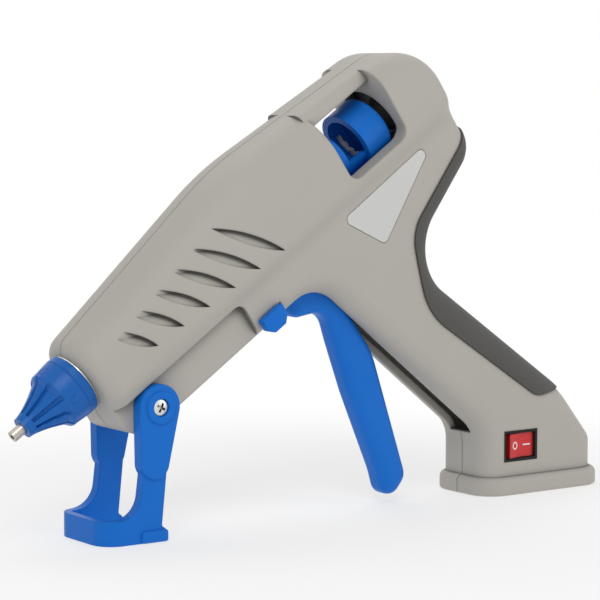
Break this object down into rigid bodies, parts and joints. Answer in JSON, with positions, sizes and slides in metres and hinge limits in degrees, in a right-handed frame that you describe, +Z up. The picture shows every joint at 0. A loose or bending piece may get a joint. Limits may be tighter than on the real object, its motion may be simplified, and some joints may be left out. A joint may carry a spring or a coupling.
{
  "type": "hot glue gun",
  "caption": "Corded hot-melt glue gun standing on its base and nose stand, with squeeze trigger, sliding stick feed, folding stand and rocker switch.",
  "frame": {"origin": "middle of the bounding box's bottom face, on the bench", "axes": "+Z up, -X towards the nozzle, -Y towards the side with the plate and the switch; the barrel rises towards +X at 34.6 degrees"},
  "size_m": [0.252, 0.037, 0.1659],
  "materials": {
    "body_plastic": "fine matte moulding grain, warm light grey",
    "soft_grip": "matte soft over-moulding",
    "plate": "satin silver, bare",
    "nozzle_metal": "turned metal",
    "sleeve_plastic": "satin heat-proof moulding, deep blue",
    "bright_ring": "polished",
    "blue_plastic": "satin bright blue",
    "spring_steel": "drawn wire",
    "screw_steel": "zinc plated",
    "black_plastic": "satin",
    "red_rocker": "glossy, slightly see-through",
    "cast_alloy": "as cast",
    "ceramic": "fired ceramic",
    "sheet_steel": "pressed sheet",
    "red_silicone": "matte silicone",
    "pin_steel": "ground",
    "terminal_brass": "stamped",
    "lead_sleeve": "woven glass sleeving",
    "gland_rubber": "matte"
  },
  "bodies": {
    "housing": {"left_shell": "body_plastic", "right_shell": "body_plastic", "soft_grip": "soft_grip", "label_plate": "plate", "nozzle": "nozzle_metal", "nozzle_sleeve": "sleeve_plastic", "nozzle_collar": "bright_ring", "stand_screws": "screw_steel", "switch_housing": "black_plastic", "melt_chamber": "cast_alloy", "heater_plates": "ceramic", "heater_clamp": "sheet_steel", "clamp_screws": "screw_steel", "inlet_seal": "red_silicone", "seal_clip": "sheet_steel", "trigger_pin": "pin_steel", "return_spring": "spring_steel", "latch_spring": "spring_steel", "switch_terminals": "terminal_brass", "heater_leads": "lead_sleeve", "lead_splice": "terminal_brass", "cord_gland": "gland_rubber", "case_screws": "screw_steel", "stick_tube": "black_plastic"},
    "trigger": {"trigger": "blue_plastic"},
    "carriage": {"feed_carriage": "blue_plastic", "gripper_pin": "pin_steel"},
    "gripper": {"stick_gripper": "spring_steel"},
    "stand": {"stand": "blue_plastic"},
    "latch": {"stand_latch": "blue_plastic"},
    "rocker": {"switch_rocker": "red_rocker"}
  },
  "joints": [
    {"name": "trigger_pull", "type": "hinge", "parent": "housing", "child": "trigger", "pos_m": [-0.01716, 0, 0.08743], "axis": [0, -1, 0], "range_deg": [0, 23.4], "stiffness_Nm_per_rad": 0.5, "springref_deg": -11.46},
    {"name": "carriage_feed", "type": "slide", "parent": "housing", "child": "carriage", "axis": [-0.8231, 0, -0.5678], "range_m": [0, 0.0085], "deforming": ["return_spring"]},
    {"name": "gripper_bite", "type": "hinge", "parent": "carriage", "child": "gripper", "pos_m": [0.02172, 0, 0.12652], "axis": [0, -1, 0], "range_deg": [0, 6]},
    {"name": "stand_fold", "type": "hinge", "parent": "housing", "child": "stand", "pos_m": [-0.07731, 0, 0.04606], "axis": [0, -1, 0], "range_deg": [0, 124]},
    {"name": "latch_slide", "type": "slide", "parent": "housing", "child": "latch", "axis": [0.8231, 0, 0.5678], "range_m": [0, 0.003], "stiffness_N_per_m": 100, "springref_m": -0.004, "deforming": ["latch_spring"]},
    {"name": "rocker_tilt", "type": "hinge", "parent": "housing", "child": "rocker", "pos_m": [0.0845, -0.0095, 0.0183], "axis": [0, 0, -1], "range_deg": [0, 14]}
  ],
  "couplings": [
    {"joint": "carriage_feed", "follows": "trigger_pull", "m_per_rad": 0.02079},
    {"joint": "gripper_bite", "follows": "trigger_pull", "ratio": 0.25}
  ]
}
